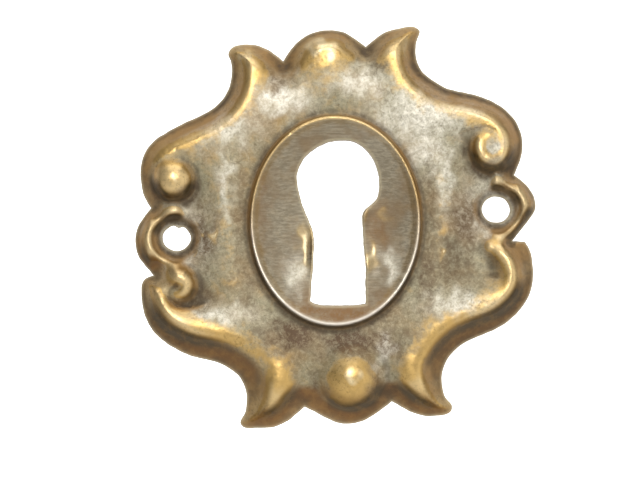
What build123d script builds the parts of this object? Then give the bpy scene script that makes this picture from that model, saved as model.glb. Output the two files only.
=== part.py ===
from build123d import *
import math
import os
import numpy as np

# Pressed brass keyhole escutcheon.
# Millimetres. +X is right and +Z is up as seen from the front, and the front faces -Y.
# The origin is halfway between the two fixing holes, on the back plane (y = 0).
# Heights are measured from the back plane toward the front, so a height h sits at y = -h.

SHEET_T = 0.85            # brass thickness, measured square to the surface
EDGE_H = 1.0              # height of the front at the outline
CONTACT_DROP = 0.35       # how far the pressed back is let down onto the back plane
HOLE_R = 1.5              # fixing holes
HOLES = {"left": (-17.9, -1.6), "right": (17.9, 1.6)}
SEAT_R = 1.6              # flat seat round each fixing hole
SEAT_SLOPE_R = 2.95       # where the seat's slope meets the ear ring
EAR_RING_R = {"left": 2.95, "right": 3.25}
EAR_RING_H = 2.35         # height of the ring crest on its outer side
EAR_RING_ROUND = 0.95     # radius of the ring's section
EAR_RING_FADE = 1.6       # over this width the ring sinks toward the middle of the plate
EAR_RING_FALL = 1.2       # by this much

OVAL_X = -0.15            # centre of the raised oval
OVAL_Z = 0.3
OVAL_A = 9.25             # half width and half height at the rim crest
OVAL_B = 11.4
RIM_H = 3.1               # height of the rim crest
RIM_FOOT = 0.6            # how far outside the crest the rim's foot lies
RIM_FOOT_SINK = 0.35      # how far the foot goes down into the sheet
RIM_BEVEL_OUT = 0.22      # outer corner of the bevel at the crest, outside it and below it
RIM_BEVEL_DROP = 0.25
RIM_FLAT = 0.08           # width of the crest's flat top
DISH_H = 1.3              # height of the dish at its middle
DISH_POWER = 2.2          # 2 is a parabola, and above it the dish is flatter in the middle
BOWL_STEPS = 16           # straight lines in half the dish's section

ROLL_BLEND = 0.8          # softness of the joint between a roll and the sheet
EDGE_POWER = 0.7          # below 1 the rolled edge rises early
BACK_STRIPS = 4           # the hollow back is cut in this many strips, which keeps its faces small
SHEET_EASE = 0.3          # how much the sheet may miss its points
GRID = 0.3                # spacing of the height grid
SOFTEN_TIMES = 3          # passes that smooth the pressed back
SPAN = 2                  # a surface point is taken at every SPAN-th grid point
HALF_X = 23.4             # the grid covers the outline with a margin
HALF_Z = 23.7
BLOCK_BACK = 3.0          # y of the far side of the height blocks
BLOCK_FLOOR = 0.2         # height at which the oval's block starts, inside the sheet
PRISM_H = 8.0             # height of the outline's straight block, well above the front
CUT_MARGIN = 1.0          # how far the bowl's cutter stands above that block

# The outline, clockwise from the notch above the left ear: width of the rolled edge, then its points.
OUTLINE = [
    # upper left scroll and horn
    (2.5, [
        (-20.75, 1.75), (-21.5, 3.1), (-21.85, 4.6), (-21.9, 6.2), (-21.5, 7.8), (-20.6, 9.1),
        (-18.9, 10.3), (-17, 11.3), (-15, 12.2), (-13.4, 13.25), (-12.4, 14.45), (-11.85, 15.8),
        (-11.7, 17.2), (-11.85, 18.3), (-12.1, 18.95), (-11.9, 19.5), (-11.1, 19.98), (-10, 20.1),
        (-8.6, 19.9), (-7.2, 19.2), (-5.95, 18.2),
    ]),
    # top lobe
    (2.3, [
        (-5.95, 18.2), (-5.3, 19.25), (-4.2, 20.45), (-2.8, 21.33), (-1, 21.68), (0.8, 21.45),
        (2.1, 20.7), (3.3, 19.83),
    ]),
    # upper right horn and scroll
    (2.4, [
        (3.3, 19.83), (4.2, 20.6), (5.6, 21.5), (7.2, 21.93), (8.9, 21.97), (9.35, 21.6), (9.15, 20.9),
        (8.9, 19.8), (8.98, 18.4), (9.6, 17.1), (10.9, 15.98), (12.6, 15.1), (14.8, 14.6), (16.8, 14),
        (18.75, 12.9), (20.1, 11.4), (20.78, 9.6), (20.75, 7.8), (19.9, 5.45),
    ]),
    # right ear
    (1.5, [
        (19.9, 5.45), (20.95, 4.65), (21.8, 3.65), (22.25, 2.6), (22.25, 1.65), (21.75, 0.7),
        (20.65, -0.7), (19.7, -1.93),
    ]),
    # step under the right ear
    (0.25, [
        (19.7, -1.93), (21.12, -1.97),
    ]),
    # lower right scroll and horn
    (2.9, [
        (21.12, -1.97), (21.7, -3.1), (22, -4.8), (21.97, -6.5), (21.5, -8.2), (20.45, -9.75),
        (19.05, -11.05), (17, -12.17), (15, -13), (13.5, -13.95), (12.45, -15.15), (11.87, -16.6),
        (11.9, -18.4), (12.4, -19.65), (12.95, -20.45), (12.8, -21.03), (11.8, -21.43), (10.3, -21.55),
        (8.6, -21.15), (7.2, -20.45), (6.2, -19.88),
    ]),
    # bottom lobe
    (2.4, [
        (6.2, -19.88), (4.9, -20.9), (3.2, -21.95), (1.3, -22.4), (-0.6, -22), (-2.2, -21.15),
        (-3.55, -20.48),
    ]),
    # lower left horn and scroll
    (3.1, [
        (-3.55, -20.48), (-4.3, -21.15), (-5.6, -22.15), (-7.4, -22.8), (-9.3, -22.87),
        (-10.5, -22.68), (-10.75, -22.3), (-10.35, -21.4), (-10.05, -20.2), (-10.15, -18.6),
        (-10.85, -17.15), (-12.1, -16.1), (-14, -15.32), (-16, -14.87), (-18.2, -13.87),
        (-19.97, -12.6), (-21.12, -11), (-21.7, -9.1), (-21.82, -7.3), (-21.55, -6.3), (-20.45, -5.78),
    ]),
    # left ear
    (1.5, [
        (-20.45, -5.78), (-21.35, -4.75), (-22.1, -3.7), (-22.48, -2.3), (-22.4, -0.9), (-21.88, 0.25),
        (-20.75, 1.75),
    ]),
]
# The keyhole, clockwise from the lower left corner.
KEYHOLE = [
    [
        (-2.95, -8.6), (-2.7, -6), (-2.5, -2.4), (-2.6, -1), (-3.15, 0.5), (-3.85, 2.3), (-4.3, 4),
        (-4.4, 5.4), (-3.95, 6.8), (-2.8, 8.1), (-1.2, 9), (0.7, 9.35), (2.2, 9.05), (3.55, 8),
        (4.5, 6.3), (4.8, 4.4), (4.55, 2.95), (3.75, 2.1), (3.1, 1.5), (2.9, 0.3), (3, -1.5),
        (3.1, -3.2), (3.25, -4.7), (3.25, -6.2), (3.28, -8.95),
    ],
    [
        (3.28, -8.95), (1, -9.15), (-1.2, -9.1), (-2.3, -8.97), (-2.95, -8.6),
    ],
]
# Raised rolls: x, z, height, section radius on the outer side and on the inner side.
ROLLS = {
    "lower left": [
        (-10.1, -22, 1.9, 1.2, 2), (-8.8, -21, 2.4, 1.6, 1.7), (-7.5, -19.7, 2.8, 1.8, 1.7),
        (-6.7, -18.2, 3.1, 1.9, 1.9), (-6.4, -16.8, 3.2, 2, 2.4), (-6.8, -15.2, 3.1, 2.2, 3.6),
        (-8, -13.8, 3, 2.3, 5), (-9.5, -12.8, 3, 2, 5), (-11.5, -12.1, 3.1, 1.7, 4.5),
        (-13.5, -11.8, 3.2, 1.5, 3.6), (-15.5, -11.5, 3.3, 1.4, 3), (-17.2, -11, 3.4, 1.3, 2.2),
        (-18.6, -10.2, 3.4, 1.25, 1.5), (-19.6, -9.2, 3.4, 1.1, 1), (-20.1, -8.2, 3.35, 1, 0.9),
        (-20.1, -7.2, 3.25, 0.9, 0.8), (-19.6, -6.4, 3.25, 0.85, 0.9), (-18.8, -5.9, 3.25, 0.8, 0.9),
        (-17.8, -5.8, 3.3, 0.75, 0.9), (-16.95, -6.15, 3.3, 0.75, 0.9), (-16.65, -6.8, 3.2, 0.7, 0.8),
        (-17, -7.5, 3.1, 0.7, 0.7), (-17.5, -7.8, 2.9, 0.6, 0.6),
    ],
    "lower right": [
        (17.2, -2.6, 2.7, 0.7, 0.7), (18.2, -3.2, 3.1, 0.8, 0.9), (19, -4.1, 3.3, 0.9, 1.1),
        (19.5, -5.2, 3.4, 1, 1.4), (19.6, -6.3, 3.45, 1.1, 1.7), (19.1, -7.4, 3.4, 1.2, 2.2),
        (18.1, -8.3, 3.35, 1.3, 2.8), (16.8, -9, 3.3, 1.4, 3.4), (15, -9.6, 3.2, 1.5, 4),
        (13, -10.3, 3.1, 1.7, 4.5), (11.3, -11.3, 3.1, 1.9, 5), (9.9, -12.7, 3.1, 2, 5),
        (8.9, -14.1, 3.1, 2, 4.5), (8.35, -15.6, 3.15, 1.9, 2.6), (8.6, -16.9, 3.1, 1.8, 1.9),
        (9.4, -18.1, 3, 1.7, 1.6), (10.4, -19.2, 2.7, 1.5, 1.5), (11.4, -20.1, 2.3, 1.3, 1.5),
        (12.3, -20.6, 1.8, 1.1, 1.6),
    ],
    "upper right": [
        (9.6, 12.3, 2.95, 2.8, 5), (12, 12.4, 3.05, 2.5, 5), (14, 12.4, 3.1, 2.2, 4.5),
        (16, 12.1, 3.15, 2, 4), (17.5, 11.5, 3.2, 1.7, 3.6), (18.5, 10.6, 3.25, 1.5, 3.4),
        (19.0, 9.6, 3.2, 1.3, 3.4), (19.0, 8.5, 3.2, 1.1, 3.2), (18.6, 7.6, 3.25, 0.9, 2.8),
        (17.7, 7.1, 3.35, 0.65, 2.4), (16.8, 7.1, 3.45, 0.55, 2), (16.1, 7.6, 3.5, 0.5, 1.8),
        (15.85, 8.4, 3.5, 0.5, 1.8), (16, 9.2, 3.4, 0.55, 2), (16.6, 9.75, 3.2, 0.6, 2.2),
    ],
    "upper left": [
        (-20.0, 6.9, 2.5, 2, 3), (-19.2, 7.9, 2.5, 2.4, 4), (-17.8, 8.8, 2.5, 2.8, 5),
        (-15.9, 9.6, 2.55, 3.2, 5.5), (-13.9, 10.4, 2.65, 3.4, 6), (-12.1, 11.6, 2.75, 3.4, 6),
        (-10.7, 13.3, 2.85, 3.2, 5.5), (-9.8, 15.1, 2.85, 2.8, 5), (-9.6, 16.8, 2.75, 2.4, 4),
        (-10.0, 18.0, 2.55, 1.9, 3), (-11.0, 19.0, 2.1, 1.4, 2),
    ],
    "upper right horn": [
        (8.5, 21.3, 1.9, 1.2, 2), (7.4, 20.7, 2.4, 1.5, 2.8), (6.7, 19.7, 2.8, 1.7, 3.4),
        (6.5, 18.3, 3, 1.9, 4), (6.7, 16.8, 3.1, 2.1, 4.5), (7.6, 15.2, 3.1, 2.4, 5),
        (9, 13.6, 3.1, 2.6, 5),
    ],
    "top lobe": [
        (-0.5, 16.6, 3.0, 7, 7), (-0.9, 17.9, 3.15, 6.5, 6.5), (-1.2, 19.2, 3.05, 5.5, 5.5),
    ],
}
# Height of the sheet between the rolls: (x, z, height).
RING = [
    (0, 15.6, 2.85), (4, 15.2, 2.85), (7.5, 13.8, 2.85), (10.2, 11.2, 2.85), (11.4, 8, 2.8),
    (11.7, 5, 2.75), (11.8, 2, 2.7), (11.8, -1, 2.65), (11.5, -4, 2.6), (10.9, -7, 2.6),
    (9.8, -9.5, 2.6), (8, -12, 2.6), (5, -13.9, 2.5), (1.2, -14.3, 2.4), (-3, -13.9, 2.5),
    (-6.5, -13.3, 2.7), (-9.2, -11.8, 2.75), (-11, -9.5, 2.65), (-11.9, -6.5, 2.6), (-12.2, -3, 2.6),
    (-12.2, 0, 2.65), (-12.1, 3, 2.7), (-11.9, 6, 2.75), (-11.2, 9.2, 2.8), (-9.8, 11.5, 2.85),
    (-7.5, 13.6, 2.85), (-4, 15.1, 2.85),
]
NOTCH_VALLEYS = [
    (-5.9, 18.2, 1.5), (-5.9, 17.2, 1.9), (-5.7, 16.0, 2.4), (3.2, 19.4, 1.6), (3.2, 18.2, 2.1),
    (3.5, 17.0, 2.55), (-3.4, -20, 1.6), (-3.1, -18.5, 1.95), (-3.1, -17, 2.15), (-3.4, -15.7, 2.35),
    (6.2, -19.5, 1.6), (5.9, -18, 1.95), (5.5, -16.5, 2.15), (5.2, -15.3, 2.35), (1.3, -21.4, 1.6),
    (4, -20.3, 1.5), (-1.2, -20.8, 1.5),
]
LEFT_FIELD = [
    (-16.5, 8, 2.4), (-15, 6, 2.35), (-14.2, 9, 2.6), (-14.6, 2.5, 2.15), (-15, 0, 2.05),
    (-15, -2.5, 2.05), (-15, -4.5, 2.05), (-17.8, -9.0, 2.2), (-16, -8.9, 2.0), (-15.2, -7.5, 1.9),
    (-15.5, -5.6, 1.9), (-14, -9.3, 2.25), (-18.5, -7.2, 2.55), (-17.5, -4.7, 1.9), (-19.8, -4.9, 1.8),
    (-16, 3.3, 1.7), (-18.3, 2.4, 1.6), (-20.6, 2.9, 1.6), (-15.6, 4.9, 2.0), (-13.8, 4.5, 2.45),
]
RIGHT_FIELD = [
    (17.5, -5.3, 2.15), (17.7, -6.7, 2.3), (16, -6.7, 2.1), (14, -7.5, 2.3), (14, -5, 2.15),
    (16, -4.2, 2.0), (14, -2, 2.1), (14, 1, 2.1), (14.3, 4, 2.1), (17.6, 8.7, 3.1), (14.5, 8.5, 2.15),
    (14.8, 10.3, 2.65), (16.3, 10.9, 2.95), (17.9, 10.2, 2.95), (14.9, 7.1, 2.0), (16.5, 6.0, 1.7),
    (18.7, 6.2, 1.6), (15.5, -2.4, 1.9), (17.8, -2.0, 1.7), (19.8, 5.8, 1.6),
]
BEYOND_EDGE = [
    (-22, 9, 1.8), (-17, 13, 1.8), (-13, 17, 1.7), (-12, 21, 1.4), (-8, 21, 1.7), (-4, 22, 1.8),
    (0, 23, 1.8), (5, 22.5, 1.8), (9, 23, 1.5), (10.5, 19, 1.7), (13, 17, 1.9), (18, 15, 1.9),
    (22, 11, 1.9), (22.5, 7, 2.0), (23, 3, 2.0), (22, -0.5, 2.0), (23, -6, 1.9), (21, -12, 1.9),
    (16, -15, 1.9), (13.5, -18, 1.7), (13, -22.5, 1.4), (9, -22.5, 1.7), (1.3, -24, 1.5), (-8, -24, 1.7),
    (-12, -22, 1.5), (-12.5, -18, 1.7), (-18, -16, 1.9), (-22.5, -12, 1.9), (-23.2, -8, 1.9),
    (-23.5, -2, 2.0), (-22.8, 4, 2.0),
]
RIM_GROOVE_H = 2.25       # sheet height at the foot of the oval rim
RIM_GROOVE_TILT = 0.15    # the foot is this much higher at the top and lower at the bottom
RIM_GROOVE_POINTS = 36

# Round beads: x, z, radius at the foot, height of the top, softness of the joint, and the power of
# the dome (0.5 is a round one with steep sides, 1 is a flatter parabola).
BEADS = [(-18.1, 5.0, 2.5, 3.7, 0.8, 0.5), (1.7, -17.0, 3.8, 3.95, 1.4, 0.8)]
BEAD_FOOT_H = 1.4         # height from which both domes rise


def curve_points(points, step):
    """Points about one step apart on a natural cubic curve through the given ones."""
    p = np.array(points, float)
    t = np.concatenate([[0], np.cumsum(np.linalg.norm(np.diff(p[:, :2], axis=0), axis=1))])
    n = len(p)
    gap = np.diff(t)
    matrix = np.zeros((n, n))
    right = np.zeros((n, p.shape[1]))
    matrix[0, 0] = 1
    matrix[-1, -1] = 1
    for i in range(1, n - 1):
        matrix[i, i - 1:i + 2] = gap[i - 1], 2 * (gap[i - 1] + gap[i]), gap[i]
        right[i] = 6 * ((p[i + 1] - p[i]) / gap[i] - (p[i] - p[i - 1]) / gap[i - 1])
    bend = np.linalg.solve(matrix, right)
    s = np.linspace(0, t[-1], max(2, round(t[-1] / step) + 1))
    i = np.clip(np.searchsorted(t, s, side="right") - 1, 0, n - 2)
    g = gap[i][:, None]
    a = (t[i + 1] - s)[:, None]
    b = (s - t[i])[:, None]
    cubic = (bend[i] * a**3 + bend[i + 1] * b**3) / (6 * g)
    return cubic + (p[i] / g - bend[i] * g / 6) * a + (p[i + 1] / g - bend[i + 1] * g / 6) * b


def nearest(q, line):
    """Distance of each point to a line, the line's other values there, and whether q is on its left."""
    dist = np.full(len(q), np.inf)
    values = np.zeros((len(q), line.shape[1] - 2))
    left = np.zeros(len(q), bool)
    for a, b in zip(line[:-1], line[1:]):
        along = b[:2] - a[:2]
        rel = q - a[:2]
        t = np.clip(rel @ along / (along @ along), 0, 1)
        d = np.linalg.norm(rel - t[:, None] * along, axis=1)
        closer = d < dist
        dist[closer] = d[closer]
        values[closer] = a[2:] + t[closer, None] * (b[2:] - a[2:])
        left[closer] = (along[0] * rel[:, 1] - along[1] * rel[:, 0] > 0)[closer]
    return dist, values, left


def ramp(t):
    """Smooth step from 0 to 1."""
    t = np.clip(t, 0, 1)
    return t * t * (3 - 2 * t)


def soft_max(a, b, k):
    """The higher of two heights, with the crease between them rounded over k."""
    h = np.clip(0.5 + 0.5 * (a - b) / k, 0, 1)
    return b + (a - b) * h + k * h * (1 - h)


def plate_kernel(a, b):
    """Bending of a thin plate: one row for each point of a, one column for each point of b."""
    d2 = ((a[:, None] - b[None])**2).sum(2)
    return 0.5 * d2 * np.log(np.maximum(d2, 1e-12))


def sheet_height(q):
    """Height of the bent sheet, a thin-plate surface through the field points."""
    groove = []
    for k in range(RIM_GROOVE_POINTS):
        a = 2 * math.pi * k / RIM_GROOVE_POINTS
        x = OVAL_X + (OVAL_A + RIM_FOOT) * math.cos(a)
        z = OVAL_Z + (OVAL_B + RIM_FOOT) * math.sin(a)
        groove.append((x, z, RIM_GROOVE_H + RIM_GROOVE_TILT * math.sin(a)))
    points = np.array(RING + NOTCH_VALLEYS + LEFT_FIELD + RIGHT_FIELD + BEYOND_EDGE + groove)
    place = points[:, :2]
    n = len(points)
    matrix = np.zeros((n + 3, n + 3))
    matrix[:n, :n] = plate_kernel(place, place) + SHEET_EASE * np.eye(n)
    matrix[:n, n] = 1
    matrix[n, :n] = 1
    matrix[:n, n + 1:] = place
    matrix[n + 1:, :n] = place.T
    w = np.linalg.solve(matrix, np.concatenate([points[:, 2], np.zeros(3)]))
    return plate_kernel(q, place) @ w[:n] + w[n] + q @ w[n + 1:]


def inside_outline(q):
    """True for the points that lie inside the plate's outline."""
    loop = np.concatenate([curve_points(points, 0.3)[:-1] for _, points in OUTLINE])
    result = np.zeros(len(q), bool)
    for (x1, z1), (x2, z2) in zip(loop, np.roll(loop, -1, 0)):
        if z1 != z2:
            level = (z1 > q[:, 1]) != (z2 > q[:, 1])
            result ^= level & (q[:, 0] < (x2 - x1) * (q[:, 1] - z1) / (z2 - z1) + x1)
    return result


def edge_rise(q):
    """0 at the outline and beyond it, 1 where the rolled edge has reached its full height."""
    u = np.ones(len(q))
    for width, points in OUTLINE:
        dist = nearest(q, curve_points(points, 0.4))[0]
        u = np.minimum(u, dist / width)
    u = np.where(inside_outline(q), u, 0)
    return ramp(u)**EDGE_POWER


def add_rolls(q, h):
    """Raised rolls with a round section, wider or narrower on each side of the crest."""
    for points in ROLLS.values():
        dist, values, left = nearest(q, curve_points(points, 0.4))
        radius = np.where(left, values[:, 1], values[:, 2])
        h = soft_max(values[:, 0] - dist**2 / (2 * radius), h, ROLL_BLEND)
    return h


def add_ear_rings(q, h):
    """Raised ring round each fixing hole, on the outer side."""
    for name, (x, z) in HOLES.items():
        r = np.hypot(q[:, 0] - x, q[:, 1] - z)
        outward = math.copysign(1, x)
        fade = 1 - ramp(((q[:, 0] - x) * outward + EAR_RING_FADE) / EAR_RING_FADE)
        ring = EAR_RING_H - (r - EAR_RING_R[name])**2 / (2 * EAR_RING_ROUND) - EAR_RING_FALL * fade
        h = soft_max(ring, h, ROLL_BLEND)
    return h


def add_beads(q, h):
    """The two round beads."""
    for x, z, radius, top, blend, power in BEADS:
        u = ((q[:, 0] - x)**2 + (q[:, 1] - z)**2) / radius**2
        dome = BEAD_FOOT_H + (top - BEAD_FOOT_H) * np.clip(1 - u, 0, 1)**power
        h = soft_max(dome - 2 * np.clip(u - 1, 0, 9), h, blend)
    return h


def sink_seats(q, h):
    """Flat seat round each fixing hole, at the height of the outline."""
    for x, z in HOLES.values():
        r = np.hypot(q[:, 0] - x, q[:, 1] - z)
        h = EDGE_H + (h - EDGE_H) * ramp((r - SEAT_R) / (SEAT_SLOPE_R - SEAT_R))
    return h


def front_height(q):
    """Height of the front outside the oval."""
    h = add_rolls(q, sheet_height(q))
    h = add_ear_rings(q, h)
    h = add_beads(q, h)
    h = EDGE_H + (h - EDGE_H) * edge_rise(q)
    return sink_seats(q, h)


def dish_height(u):
    """Height of the dish, u = 0 in the middle and 1 at the rim crest."""
    return DISH_H + (RIM_H - DISH_H) * np.clip(u, 0, 1)**DISH_POWER


def height_grid():
    """The grid's x and z lines, and the height of the front at each crossing."""
    x = np.arange(-HALF_X, HALF_X + GRID / 2, GRID)
    z = np.arange(-HALF_Z, HALF_Z + GRID / 2, GRID)
    gx, gz = np.meshgrid(x, z)
    q = np.stack([gx.ravel(), gz.ravel()], 1)
    return x, z, front_height(q).reshape(gx.shape)


def soften(grid):
    """Grid averaged with its neighbours a few times."""
    for _ in range(SOFTEN_TIMES):
        for axis in (0, 1):
            grid = (np.roll(grid, 1, axis) + 2 * grid + np.roll(grid, -1, axis)) / 4
    return grid


def back_grid(x, z, front):
    """Height of the back: a ball as big as the sheet is thick, rolled under the front."""
    gx, gz = np.meshgrid(x, z)
    u = np.hypot((gx - OVAL_X) / OVAL_A, (gz - OVAL_Z) / OVAL_B)
    whole = np.where(u < 1, dish_height(u), front)
    reach = int(SHEET_T / GRID)
    back = np.full_like(whole, np.inf)
    for i in range(-reach, reach + 1):
        for j in range(-reach, reach + 1):
            d2 = (i * i + j * j) * GRID * GRID
            if d2 < SHEET_T**2:
                moved = np.roll(whole, (i, j), (0, 1))
                back = np.minimum(back, moved - math.sqrt(SHEET_T**2 - d2))
    return soften(back) - CONTACT_DROP


def blocks_under(x, z, heights, strips):
    """Solids from the height surface to well behind the back plane, side by side along X.

    Each is lofted through splines along Z, and neighbours share their section.
    """
    sections = []
    count = len(range(0, len(z), SPAN))
    even = [k / (count - 1) for k in range(count)]
    for i in range(0, len(x), SPAN):
        points = [Vector(x[i], -heights[j, i], z[j]) for j in range(0, len(z), SPAN)]
        low = Vector(x[i], BLOCK_BACK, points[0].Z)
        high = Vector(x[i], BLOCK_BACK, points[-1].Z)
        sections.append(Wire([
            Edge.make_spline(points, parameters=even), Edge.make_line(points[-1], high),
            Edge.make_line(high, low), Edge.make_line(low, points[0]),
        ]))
    last = len(sections) - 1
    ends = [round(k * last / strips) for k in range(strips + 1)]
    return [Solid.make_loft(sections[a:b + 1], ruled=False) for a, b in zip(ends[:-1], ends[1:])]


def closed_wire(stretches):
    """Wire on the back plane: a smooth curve for each stretch, or a line where it has two points."""
    edges = []
    for points in stretches:
        on_plane = [Vector(x, 0, z) for x, z in points]
        edges.append(Edge.make_line(*on_plane) if len(points) == 2 else Edge.make_spline(on_plane))
    return Wire(edges)


def pierced_prism():
    """Straight block with the plate's outline, keyhole and fixing holes."""
    holes = [closed_wire(KEYHOLE)]
    for x, z in HOLES.values():
        plane = Plane(origin=(x, 0, z), z_dir=(0, -1, 0))
        holes.append(Wire(Edge.make_circle(HOLE_R, plane)))
    outline = closed_wire([points for _, points in OUTLINE])
    return extrude(Face(outline, holes), amount=PRISM_H, dir=(0, -1, 0))


def turned_oval(profile):
    """Solid turned about Y from (radius, height) corners, then stretched to the oval."""
    wire = Polyline(*[(r, -h, 0) for r, h in profile], close=True)
    round_solid = revolve(Face(Wire(wire.edges())), axis=Axis.Y)
    return Pos(OVAL_X, 0, OVAL_Z) * scale(round_solid, by=(1, 1, OVAL_B / OVAL_A))


def build_plate():
    """The front block with its oval and dish, cut to the outline, less the hollow back."""
    x, z, front = height_grid()
    foot = OVAL_A + RIM_FOOT
    oval_block = turned_oval([
        (0, BLOCK_FLOOR), (foot, BLOCK_FLOOR), (foot, RIM_GROOVE_H - RIM_FOOT_SINK),
        (OVAL_A + RIM_BEVEL_OUT, RIM_H - RIM_BEVEL_DROP), (OVAL_A + RIM_FLAT, RIM_H), (0, RIM_H),
    ])
    steps = [k / BOWL_STEPS for k in range(BOWL_STEPS + 1)]
    bowl_curve = [(OVAL_A * u, float(dish_height(u))) for u in steps]
    cutter_top = PRISM_H + CUT_MARGIN
    bowl = turned_oval(bowl_curve + [(OVAL_A, cutter_top), (0, cutter_top)])
    front_block = blocks_under(x, z, front, 1)[0]
    plate = (front_block + oval_block - bowl) & pierced_prism()
    return plate - blocks_under(x, z, back_grid(x, z, front), BACK_STRIPS)


os.makedirs("parts", exist_ok=True)
plate = build_plate()
plate.label = "escutcheon_plate"
export_step(plate, "parts/escutcheon_plate.step")
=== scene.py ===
import math

import bpy
import numpy as np
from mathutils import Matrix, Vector
from mathutils.geometry import delaunay_2d_cdt


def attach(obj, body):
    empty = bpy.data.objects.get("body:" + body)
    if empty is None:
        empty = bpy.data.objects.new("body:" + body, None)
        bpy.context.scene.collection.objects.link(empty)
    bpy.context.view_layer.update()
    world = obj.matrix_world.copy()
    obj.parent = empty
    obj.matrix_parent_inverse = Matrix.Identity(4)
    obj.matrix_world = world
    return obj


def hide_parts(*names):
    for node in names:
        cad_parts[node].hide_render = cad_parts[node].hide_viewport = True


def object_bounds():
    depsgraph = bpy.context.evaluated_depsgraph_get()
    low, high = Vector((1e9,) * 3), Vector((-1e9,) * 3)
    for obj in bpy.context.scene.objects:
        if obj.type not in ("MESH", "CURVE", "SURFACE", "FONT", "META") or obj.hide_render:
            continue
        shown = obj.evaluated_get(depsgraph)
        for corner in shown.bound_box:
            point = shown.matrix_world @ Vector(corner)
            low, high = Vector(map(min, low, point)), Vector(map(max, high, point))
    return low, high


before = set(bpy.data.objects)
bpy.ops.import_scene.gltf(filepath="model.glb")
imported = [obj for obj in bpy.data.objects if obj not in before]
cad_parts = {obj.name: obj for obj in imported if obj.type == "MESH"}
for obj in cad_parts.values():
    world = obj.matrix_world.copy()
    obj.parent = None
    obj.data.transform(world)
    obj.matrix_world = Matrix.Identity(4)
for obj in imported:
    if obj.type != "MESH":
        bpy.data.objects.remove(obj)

# Looks for the keyhole escutcheon. The shape is worked out in millimetres, with heights measured
# from the back plane (y = 0) toward the front (-Y), and turned into metres when the mesh is made.

CAD_BOX = [list(v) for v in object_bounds()]
MM = 0.001

SHEET_T = 0.85            # brass thickness
EDGE_H = 1.0              # height of the front at the outline
CONTACT_DROP = 0.35       # how far the pressed back is let down onto the back plane
HOLES = {"left": (-17.9, -1.6), "right": (17.9, 1.6)}
HOLE_SIZE = {"left": (1.6, 1.42), "right": (1.6, 1.45)}   # worn half width and half height
HOLE_POINTS = 52
BURR = (1.45, 0.22, 0.28)  # in the left hole: its direction and half width in radians, and its height
SEAT_R = 1.6              # flat seat round each fixing hole
SEAT_SLOPE_R = 2.95       # where the seat's slope meets the ear ring
EAR_RING_R = {"left": 2.95, "right": 3.25}
EAR_RING_H = 2.35         # height of the ring crest on its outer side
EAR_RING_ROUND = 0.95     # radius of the ring's section
EAR_RING_FADE = 1.6       # over this width the ring sinks toward the middle of the plate
EAR_RING_FALL = 1.2       # by this much

OVAL_X = -0.15            # centre of the raised oval
OVAL_Z = 0.3
OVAL_A = 9.25             # half width and half height at the rim crest
OVAL_B = 11.4
RIM_H = 3.1               # height of the rim crest
RIM_FOOT = 0.6            # how far outside the crest the rim's foot lies
RIM_FLAT = 0.1            # width of the crest's top
RIM_EASE_W = 0.12         # the top eases down by RIM_EASE_H over this width
RIM_EASE_H = 0.05
DISH_H = 1.3              # height of the dish at its middle
DISH_POWER = 2.2          # 2 is a parabola, and above it the dish is flatter in the middle
# Lips bent up beside the slot: x, z, half width, half height, height, reach from the cut edge.
LIPS = [
    (-2.9, -3.0, 1.3, 2.9, 0.55, 0.55), (3.6, -4.2, 1.2, 1.6, 0.5, 0.8), (3.6, 0.9, 1.4, 1.2, 0.4, 0.8),
]

# Unevenness of the worn metal: heights, and sizes across.
SWELL_H, SWELL_SIZE = 0.006, 3.2
RIPPLE_H, RIPPLE_SIZE = 0.0035, 1.3
PIT_H, PIT_SIZE, PIT_PATCH_SIZE = 0.045, 0.75, 4.5
CUT_WEAR = {"outline": 0.02, "keyhole": 0.035, "hole": 0.03}   # waviness of the cut edges
CUT_WEAR_SIZE = 1.4

ROLL_BLEND = 0.8          # softness of the joint between a roll and the sheet
SHEET_EASE = 0.3          # how much the sheet may miss its points
EDGE_POWER = 0.7          # below 1 the rolled edge rises early
CUT_ROUND = 0.12          # rounding of the cut edges
FRONT_STEP = 0.19         # mesh spacing on the front, the back and along the cut edges
BACK_STEP = 0.42
EDGE_STEP = 0.2
JITTER = 0.12             # share of the spacing by which lattice points are moved
CUT_ROWS = (0.07, 0.16, 0.27, 0.36, 0.5)   # rows of mesh points beside each cut edge
RIM_ROWS = (-0.22, -0.12, -0.05, 0.0, 0.06, 0.12, 0.2, 0.28, 0.37, 0.47)   # and along the oval rim
RIM_CLEAR = (-0.3, 0.62)  # the lattice keeps out of this band round the rim
RIM_HIGHLIGHT_W = 0.14        # half width of the painted highlight line on the rim crest
BACK_SOFTEN = 0.15        # blur of the pressed back
BACK_FLAT = 0.04          # the back lies flat where it would be lower than this
FINE_REACH = 0.7          # fine and broad bumps stand out from the mean height this far around
BROAD_REACH = 2.2
FINE_FULL = 0.22          # heights above that mean, and slopes, at which the wear is full
BROAD_FULL = 0.6
STEEP_FULL = 1.5
DOWN_FULL = 1.2
BARE_EDGE_W = 0.3         # width of the bare metal along the cut edges

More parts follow.
